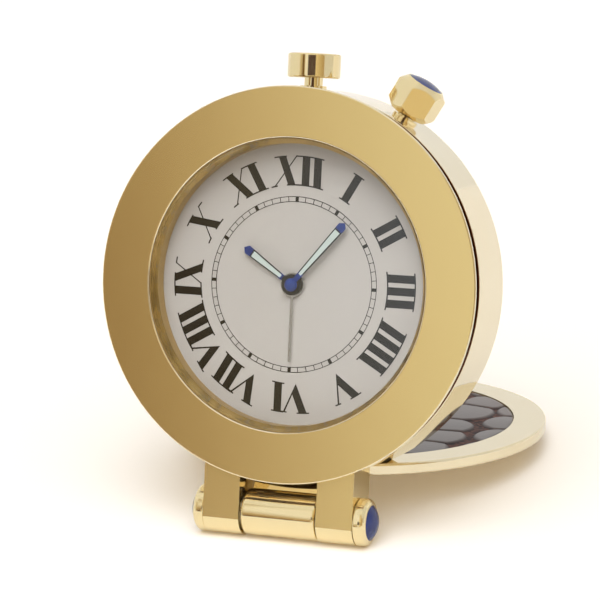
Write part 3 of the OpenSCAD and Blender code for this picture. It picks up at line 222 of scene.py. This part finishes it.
# PLASTIC, COIL AND BOARD
# The ring and the battery cup are moulded from glass-filled plastic, the coil is wound from enamelled copper.
# The board is glass cloth under green solder mask, with the driver chip and the quartz can soldered to it.
dress(grained("moulded_nylon", "#44464A", "#383A3E", metallic=0.0, roughness=0.5, grain=0.25, depth=0.02),
      "movement_ring", "battery_cup")
dress(grained("wound_copper", "#B4703C", "#8A4E24", metallic=1.0, roughness=0.35, grain=0.12, depth=0.05),
      "coil")
dress(grained("solder_mask", "#34764A", "#28603A", metallic=0.0, roughness=0.3, grain=0.5, depth=0.01),
      "circuit_board")
dress(grained("chip_epoxy", "#2A2A2C", "#222224", metallic=0.0, roughness=0.5, grain=0.1, depth=0.01),
      "driver_chip")

# GASKETS
# Rubber rings, cut or moulded, seal the crystal, the hatch and the crown's stem.
# The crystal's ring is clear amber silicone, of which a hair shows beside the glass; the others are black.
dress(grained("black_rubber", "#2A2826", "#201E1C", metallic=0.0, roughness=0.6, grain=0.3, depth=0.02),
      "hatch_gasket", "crown_gasket")
dress(grained("amber_silicone", "#B8985C", "#A88850", metallic=0.0, roughness=0.5, grain=0.3, depth=0.01),
      "crystal_gasket")

# THE DIAL
# A brass disc, silvered and lacquered to a soft warm grey, held between movement ring and flange ring.
# Its grain is much finer than a pixel, so it is drawn at a tenth of a millimetre.
dress(grained("silvered_lacquer", "#CAC5C0", "#C4BFB9", metallic=0.0, roughness=0.42, grain=0.1, depth=0.004),
      "dial")

# THE PRINT
# Numerals and minute track are pad-printed in black on the dial, a thin raised film with a slight sheen.
# The ink is a touch uneven, as a pad lays it down.
dress(grained("pad_printed_ink", "#141310", "#0C0B0A", metallic=0.0, roughness=0.5, grain=0.5, depth=0.004,
              gloss=0.2), "dial_print")

# THE HANDS
# Hour and minute hand are stamped from steel and lacquered blue, with a domed blue cap over the minute hand.
# The alarm hand is bare steel, and all of them are pressed on pipes, one inside the next.
lean = radians(16.8923)

# The hinge pin's place in the frame, how far it lies behind the bezel's front and below the dial's centre,
# and how far the hands lie behind the bezel's front, all in millimetres.
pin_y, pin_z, pin_depth, pin_below, hands_depth = -36.0773, 4.3, 5.75, 41.05, 4.0
hand_centre = (0, float(pin_y + (hands_depth - pin_depth) * np.cos(lean) + pin_below * np.sin(lean)) / 1000,
               float(pin_z - (hands_depth - pin_depth) * np.sin(lean) + pin_below * np.cos(lean)) / 1000)


def hand_steel(name, hub, root, tip):
    """Hand steel by its distance from the dial's centre, in millimetres: bare steel within the hub, painted
    dark as the shade that falls on it, blue lacquer up to the root and beyond the tip's start, and darker
    edges along the paste between them."""
    made, tree, place = finish(name)
    out = add(tree, "VectorMath", {0: place, 1: hand_centre}, operation="DISTANCE").outputs["Value"]
    grain = add(tree, "TexNoise", {"Vector": place, "Scale": 1000 / 0.6, "Detail": 3.0}).outputs["Fac"]
    tone = add(tree, "Mix", {"Factor": grain, "A": tint("#203C8C"), "B": tint("#2C4CA4")},
               data_type="RGBA").outputs["Result"]
    past_root = add(tree, "Math", {0: out, 1: root / 1000}, operation="GREATER_THAN")
    before_tip = add(tree, "Math", {0: out, 1: tip / 1000}, operation="LESS_THAN")
    beside = add(tree, "Math", {0: past_root.outputs[0], 1: before_tip.outputs[0]}, operation="MULTIPLY")
    within = add(tree, "Math", {0: out, 1: hub / 1000}, operation="LESS_THAN")
    # Within the hub the bare steel is painted dark: painted shade.
    for share, cover in ((beside, "#28323C"), (within, "#2E3134")):
        tone = add(tree, "Mix", {"Factor": share.outputs[0], "A": tone, "B": tint(cover)},
                   data_type="RGBA").outputs["Result"]
    rough = add(tree, "MapRange", {"Value": grain, "To Min": 0.2, "To Max": 0.3})
    skin = add(tree, "BsdfPrincipled", {"Base Color": tone, "Metallic": 0.6, "Roughness": rough.outputs[0]})
    add(tree, "OutputMaterial", {"Surface": skin.outputs[0]})
    return made


dress(hand_steel("blued_hour_hand_steel", hub=2.15, root=3.0, tip=9.4), "hour_hand")
dress(hand_steel("blued_minute_hand_steel", hub=0.0, root=3.0, tip=13.2), "minute_hand")
dress(grained("blue_lacquered_steel", "#2E52A8", "#23408C", metallic=0.5, roughness=0.18, grain=0.6,
              depth=0.004), "minute_hand_cap")
dress(grained("bright_steel", "#D2D2D2", "#B8B8BA", metallic=1.0, roughness=0.2, grain=0.4, depth=0.004),
      "alarm_hand")

# LUMINOUS PASTE
# A pale green-white paste of coarse pigment fills the openings of both hands.
# It dries matt and a little grainy.
dress(grained("luminous_paste", "#D2DED9", "#C0CEC8", metallic=0.0, roughness=0.7, grain=0.15, depth=0.03),
      "hour_lume", "minute_lume")

# GOLD PLATE
# The case, hinge, stand, button and crown are brass, polished by hand and plated with gold.
# One plating throughout, in two copies: the case and the disc get a paler one, painting the whiter look of
# their bright reflections, and the small pieces a deeper one, painting their darker reflections.
# Hand polish leaves faint soft waves and a haze that changes from place to place.
PALE_LIT_GOLD = ("#EDDDB8", "#F2E5C6")
DEEP_SHADED_GOLD = ("#EDD8A4", "#F1E0B2")
SATIN_GOLD = ("#F2D995", "#F5DD9D")
# Painted shade: the dark brown that stands for the shadow deep in the groove behind the bezel.
GROOVE_PAINTED_SHADE = "#6A3416"


def gold_plate(name, tones=PALE_LIT_GOLD, metallic=0.92, satin_front=None, groove=None):
    """Polished gold plate. Depths are object points measured along the case's axis, in millimetres behind the
    bezel's front: what lies no deeper than satin_front is blasted satin, and between the two depths of groove
    the plate is painted dark brown and rougher, as painted shade in the deep groove."""
    made, tree, place = finish(name)
    haze_size, wave_size, grit_size, face_slack = 6, 9, 0.1, 0.004
    haze = add(tree, "TexNoise", {"Vector": place, "Scale": 1000 / haze_size, "Detail": 4.0}).outputs["Fac"]
    tone = add(tree, "Mix", {"Factor": haze, "A": tint(tones[0]), "B": tint(tones[1])},
               data_type="RGBA").outputs["Result"]
    rough = add(tree, "MapRange", {"Value": haze, "To Min": 0.03, "To Max": 0.07}).outputs[0]
    wave = add(tree, "TexNoise", {"Vector": place, "Scale": 1000 / wave_size, "Detail": 1.0}).outputs["Fac"]
    relief = add(tree, "Bump", {"Height": wave, "Strength": 0.2, "Distance": 0.04 / 1000}).outputs[0]
    along = add(tree, "VectorMath", {0: place, 1: (0, np.cos(lean), -np.sin(lean))},
                operation="DOT_PRODUCT").outputs["Value"]
    front = float(pin_y * np.cos(lean) - pin_z * np.sin(lean) - pin_depth)
    # Between the groove's depths the plate is painted dark brown as the groove's shade.
    if groove is not None:
        past = add(tree, "Math", {0: along, 1: (front + groove[0]) / 1000}, operation="GREATER_THAN")
        before = add(tree, "Math", {0: along, 1: (front + groove[1]) / 1000}, operation="LESS_THAN")
        inside = add(tree, "Math", {0: past.outputs[0], 1: before.outputs[0]},
                     operation="MULTIPLY").outputs[0]
        tone = add(tree, "Mix", {"Factor": inside, "A": tone, "B": tint(GROOVE_PAINTED_SHADE)},
                   data_type="RGBA").outputs["Result"]
        rough = add(tree, "Mix", {"Factor": inside, "A": rough, "B": 0.3}).outputs["Result"]
    if satin_front is not None:
        satin = add(tree, "Math", {0: along, 1: (front + satin_front + face_slack) / 1000},
                    operation="LESS_THAN").outputs[0]
        grit = add(tree, "TexNoise", {"Vector": place, "Scale": 1000 / grit_size,
                                      "Detail": 1.0}).outputs["Fac"]
        satin_tone = add(tree, "Mix", {"Factor": grit, "A": tint(SATIN_GOLD[0]), "B": tint(SATIN_GOLD[1])},
                         data_type="RGBA").outputs["Result"]
        tone = add(tree, "Mix", {"Factor": satin, "A": tone, "B": satin_tone},
                   data_type="RGBA").outputs["Result"]
        satin_rough = add(tree, "MapRange", {"Value": grit, "To Min": 0.19, "To Max": 0.21}).outputs[0]
        rough = add(tree, "Mix", {"Factor": satin, "A": rough, "B": satin_rough}).outputs["Result"]
        grain = add(tree, "Math", {0: grit, 1: satin}, operation="MULTIPLY").outputs[0]
        relief = add(tree, "Bump", {"Height": grain, "Strength": 0.1, "Distance": 0.002 / 1000,
                                    "Normal": relief}).outputs[0]
    skin = add(tree, "BsdfPrincipled", {"Base Color": tone, "Metallic": metallic, "Roughness": rough,
                                        "Normal": relief})
    add(tree, "OutputMaterial", {"Surface": skin.outputs[0]})
    return made


polished_gold = gold_plate("polished_gold_plate")
deep_shaded_gold = gold_plate("deep_gold_plate", DEEP_SHADED_GOLD)

# THE FLANGE RING
# A turned ring that stands between crystal and dial and hides the dial's edge.
# It is gold plated over fine turning, which leaves it softly dull.
dress(grained("turned_gold_plate", "#E2C48A", "#D4B474", metallic=1.0, roughness=0.36, grain=0.3,
              depth=0.002), "flange_ring")

# THE BEZEL
# A turned ring whose sleeve is pressed into the band, with a satin face between two polished, rounded edges.
# Its lip holds the crystal and its gasket, and the back of its flange is one wall of the groove, painted dark
# brown as its shade.
dress(gold_plate("satin_faced_gold_plate", metallic=1.0, satin_front=0.0, groove=(0.69, 0.75)), "bezel")

# THE CRYSTAL
# A thick flat disc of coated mineral glass, ground and polished, pressed into the bezel with its gasket.
# The coating leaves only a faint mirror on it, and the light for the dial passes straight through.
made, tree, place = finish("mineral_glass")
smear = add(tree, "TexNoise", {"Vector": place, "Scale": 1000 / 5, "Detail": 2.0})
rough = add(tree, "MapRange", {"Value": smear.outputs["Fac"], "To Min": 0.0, "To Max": 0.01})
scattered = add(tree, "LightPath", {}).outputs["Is Diffuse Ray"]
solid = add(tree, "Math", {0: 1.0, 1: scattered}, operation="SUBTRACT")
skin = add(tree, "BsdfPrincipled", {"Base Color": tint("#FBFDFC"), "Roughness": rough.outputs[0], "IOR": 1.5,
                                    "Transmission Weight": 1.0, "Specular IOR Level": 0.12,
                                    "Alpha": solid.outputs[0]})
add(tree, "OutputMaterial", {"Surface": skin.outputs[0]})
dress(made, "crystal")

# BAND AND BACK
# The band is turned from thick brass tube and polished; the back is a turned disc screwed into it.
# A round hatch with a coin slot closes the battery well, and the band's front wall in the groove is painted
# dark brown as its shade.
dress(polished_gold, "case_back", "battery_hatch")
dress(gold_plate("gold_plate_painted_groove_shade", groove=(2, 3.36)), "case_band")


# THE LUGS
# Two blocks milled flat in front and behind and round below, screwed to the band from inside.
# Their fronts are satin like the bezel, and narrow polished bevels run along all edges.
def eased(name, width, made):
    """A merged copy of a CAD node in a material, which stands for that node. Its sharp edges are eased by a
    bevel of a width in millimetres."""
    same_point, flat_angle, smooth_angle, edge_angle = 2e-6, radians(0.3), radians(12), radians(40)
    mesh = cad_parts[name].data.copy()
    work = bmesh.new()
    work.from_mesh(mesh)
    bmesh.ops.remove_doubles(work, verts=work.verts, dist=same_point)
    bmesh.ops.dissolve_limit(work, angle_limit=flat_angle, verts=work.verts, edges=work.edges)
    work.to_mesh(mesh)
    work.free()
    if "custom_normal" in mesh.attributes:
        mesh.attributes.remove(mesh.attributes["custom_normal"])
    mesh.shade_smooth()
    mesh.set_sharp_from_angle(angle=smooth_angle)
    mesh.materials.clear()
    mesh.materials.append(made)
    piece = bpy.data.objects.new(name + "_eased", mesh)
    scene.collection.objects.link(piece)
    bevel = piece.modifiers.new("eased_edges", "BEVEL")
    bevel.width = width / 1000
    bevel.segments = 3
    bevel.limit_method = "ANGLE"
    bevel.angle_limit = edge_angle
    bevel.harden_normals = True
    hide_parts(name)
    return piece


lug_gold = gold_plate("satin_fronted_gold_plate", DEEP_SHADED_GOLD, satin_front=1.6)
for name in ("hinge_lug_left", "hinge_lug_right"):
    lug = eased(name, 0.3, lug_gold)
    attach(lug, "case")

# THE PIN CAPS
# Turned gold caps close the ends of the hinge pin; each carries a cabochon in a sunk seat.
# They are pressed on the steel pin and polished with the lugs.
dress(deep_shaded_gold, "pin_caps")

# THE CABOCHONS
# Domed blue stones, cut and polished by hand, cemented into the pin caps and the crown.
# The blue is clouded, with darker depths and a few paler veins.
made, tree, place = finish("polished_blue_stone")
cloud_size, vein_size = 2.5, 4
cloud = add(tree, "TexNoise", {"Vector": place, "Scale": 1000 / cloud_size, "Detail": 4.0, "Distortion": 0.6})
blue = add(tree, "Mix", {"Factor": cloud.outputs["Fac"], "A": tint("#141E58"), "B": tint("#26387C")},
           data_type="RGBA")
vein = add(tree, "TexNoise", {"Vector": place, "Scale": 1000 / vein_size, "Detail": 2.0, "Distortion": 1.5})
veined = add(tree, "MapRange", {"Value": vein.outputs["Fac"], "From Min": 0.62, "From Max": 0.72,
                                "To Max": 0.5}, interpolation_type="SMOOTHSTEP")
stone = add(tree, "Mix", {"Factor": veined.outputs[0], "A": blue.outputs["Result"], "B": tint("#6474B4")},
            data_type="RGBA")
skin = add(tree, "BsdfPrincipled", {"Base Color": stone.outputs["Result"], "Roughness": 0.05, "IOR": 1.55})
add(tree, "OutputMaterial", {"Surface": skin.outputs[0]})
dress(made, "cap_cabochons", "crown_cabochon")

# THE STAND
# A knuckle with a round barrel turns on the hinge pin, and its tongue is screwed under the cover disc.
# Both are polished gold; the disc has a shallow recess for its leather.
dress(deep_shaded_gold, "stand_knuckle")
dress(polished_gold, "stand_disc")

# THE LEATHER INLAY
# A disc of dark embossed hide, glued into the recess of the cover disc.
# Plump, glossy scales in rows are parted by deep creases, redder and painted darker as their shade, with a
# painted dark line of shade at each scale's foot; the cut edge dips below the gold rim.
slope = radians(7.74231)
reach, top, radius, thick = pin_below, 8.10, 28.9, 0.8
scale_pitch_x, scale_pitch_s, scale_stray = 9.3, 9.2, 1.2
scale_half_x, scale_half_s, scale_height = 4.8, 5.2, 0.45
side = np.linspace(-1, 1, 260)
u, v = np.meshgrid(side, side)
x = radius * u * np.sqrt(1 - v ** 2 / 2)
s = radius * v * np.sqrt(1 - u ** 2 / 2)
seed = np.random.default_rng(7)
rows, columns = np.meshgrid(np.arange(-8, 9), np.arange(-8, 9), indexing="ij")
scale_x = columns * scale_pitch_x + seed.uniform(-scale_stray, scale_stray, rows.shape)
scale_s = ((rows + 0.5 * (columns % 2)) * scale_pitch_s
           + seed.uniform(-scale_stray, scale_stray, rows.shape))


def hide_relief(x, s):
    """Height, net, border and shade of the hide. Each point belongs to the nearest scale centre, and its
    distance from it, measured by an ellipse of slightly random size, is about one at the scale's border. A
    scale rises inside its border as a flat dome, and the net of wrinkled skin lies outside. The border marks
    the painted dark line of shade at a scale's foot, and shade is a random tone of each scale."""
    offset_x, offset_s = x[..., None] - scale_x.ravel(), s[..., None] - scale_s.ravel()
    size = seed.uniform(0.92, 1.08, scale_x.size)
    away = np.hypot(offset_x / (scale_half_x * size), offset_s / (scale_half_s * size))
    order = np.argsort(away, axis=-1)[..., :2]
    near = np.take_along_axis(away, order, -1)
    out = near[..., 0]
    room_left = np.minimum(1.1 - out, 0.7 * (near[..., 1] - out))
    inside = np.clip(room_left / 0.16, 0, 1)
    inside = inside ** 2 * (3 - 2 * inside)
    border = np.exp(-((room_left - 0.05) / 0.05) ** 2)
    shade = seed.uniform(0, 1, scale_x.size)[order[..., 0]]
    return scale_height * inside * (1 - 0.3 * out ** 2) - scale_height, 1 - inside, border, shade


rise, net, border, shade = hide_relief(x, s)
edge, edge_start, edge_width, edge_dip = np.hypot(x, s) / radius, 0.985, 0.015, 0.3
rise = rise - edge_dip * np.clip((edge - edge_start) / edge_width, 0, 1) ** 2


def in_stand(x, s, h):
    """World points, in metres, of points in the stand: across, along the disc and above the hinge axis."""
    y = pin_y + s * np.cos(slope) + h * np.sin(slope)
    z = pin_z - s * np.sin(slope) + h * np.cos(slope)
    return np.stack([x, y, z], -1) / 1000


count = side.size
surface = in_stand(x, s + reach, top + rise).reshape(-1, 3)
index = np.arange(count * count).reshape(count, count)
quads = np.stack([index[:-1, :-1], index[:-1, 1:], index[1:, 1:], index[1:, :-1]], -1).reshape(-1, 4)
rim = np.concatenate([index[0, :-1], index[:-1, -1], index[-1, :0:-1], index[:0:-1, 0]])
under = in_stand(x.ravel()[rim], s.ravel()[rim] + reach, top - thick)
low = count * count + np.arange(rim.size)
skirt = np.stack([rim, low, np.roll(low, -1), np.roll(rim, -1)], -1)
hide = bpy.data.meshes.new("leather_hide")
hide.from_pydata(np.concatenate([surface, under]).tolist(), [],
                 quads.tolist() + skirt.tolist() + [low[::-1].tolist()])
for label, value in (("net", net), ("border", border), ("shade", shade)):
    stored = hide.attributes.new(label, "FLOAT", "POINT")
    stored.data.foreach_set("value", np.concatenate([value.ravel(), np.ones(rim.size)]).astype(np.float32))
hide.shade_smooth()
leather = bpy.data.objects.new("leather_hide", hide)
scene.collection.objects.link(leather)
made, tree, place = finish("embossed_glazed_leather")
net_mark, crease_shade_mark, shade_mark = (add(tree, "Attribute", {}, attribute_name=label).outputs["Fac"]
                                     for label in ("net", "border", "shade"))
grain_size, wrinkle_size = 0.7, 1.3
grain = add(tree, "TexNoise", {"Vector": place, "Scale": 1000 / grain_size, "Detail": 4.0}).outputs["Fac"]
wrinkle = add(tree, "TexNoise", {"Vector": place, "Scale": 1000 / wrinkle_size, "Detail": 3.0,
                                 "Distortion": 0.8}).outputs["Fac"]
scale_tone = add(tree, "Mix", {"Factor": shade_mark, "A": tint("#4C3C37"), "B": tint("#604F48")},
                 data_type="RGBA").outputs["Result"]
# The creases are redder than the scales, and darker as painted shade.
ridge = add(tree, "MapRange", {"Value": wrinkle, "From Min": 0.42, "From Max": 0.6})
net_tone = add(tree, "Mix", {"Factor": ridge.outputs[0], "A": tint("#2A1512"), "B": tint("#6C4236")},
               data_type="RGBA").outputs["Result"]
hide_tone = add(tree, "Mix", {"Factor": net_mark, "A": scale_tone, "B": net_tone},
                data_type="RGBA").outputs["Result"]
# Painted shade: a dark line along the foot of each scale.
painted_crease_shade = add(tree, "Math", {0: crease_shade_mark, 1: 0.75}, operation="MULTIPLY")
lined = add(tree, "Mix", {"Factor": painted_crease_shade.outputs[0], "A": hide_tone, "B": tint("#241210")},
            data_type="RGBA").outputs["Result"]
rough = add(tree, "MapRange", {"Value": net_mark, "To Min": 0.28, "To Max": 0.55})
shine = add(tree, "MapRange", {"Value": net_mark, "To Min": 0.85, "To Max": 0.2})
wrinkled = add(tree, "Math", {0: wrinkle, 1: net_mark}, operation="MULTIPLY")
uneven = add(tree, "Math", {0: wrinkled.outputs[0], 1: 4.0, 2: grain}, operation="MULTIPLY_ADD")
relief = add(tree, "Bump", {"Height": uneven.outputs[0], "Strength": 0.4, "Distance": 0.06 / 1000})
skin = add(tree, "BsdfPrincipled", {"Base Color": lined, "Roughness": rough.outputs[0],
                                    "Specular IOR Level": shine.outputs[0], "Normal": relief.outputs[0]})
add(tree, "OutputMaterial", {"Surface": skin.outputs[0]})
hide.materials.append(made)
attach(leather, "stand")
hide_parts("leather_inlay")

# BUTTON AND CROWN
# The round alarm button and the six-sided crown are turned and milled, polished and plated.
# Their necks slide in tubes pressed into the band.
dress(deep_shaded_gold, "alarm_button", "button_tube", "crown_tube")
head = eased("crown", 0.14, deep_shaded_gold)
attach(head, "crown")
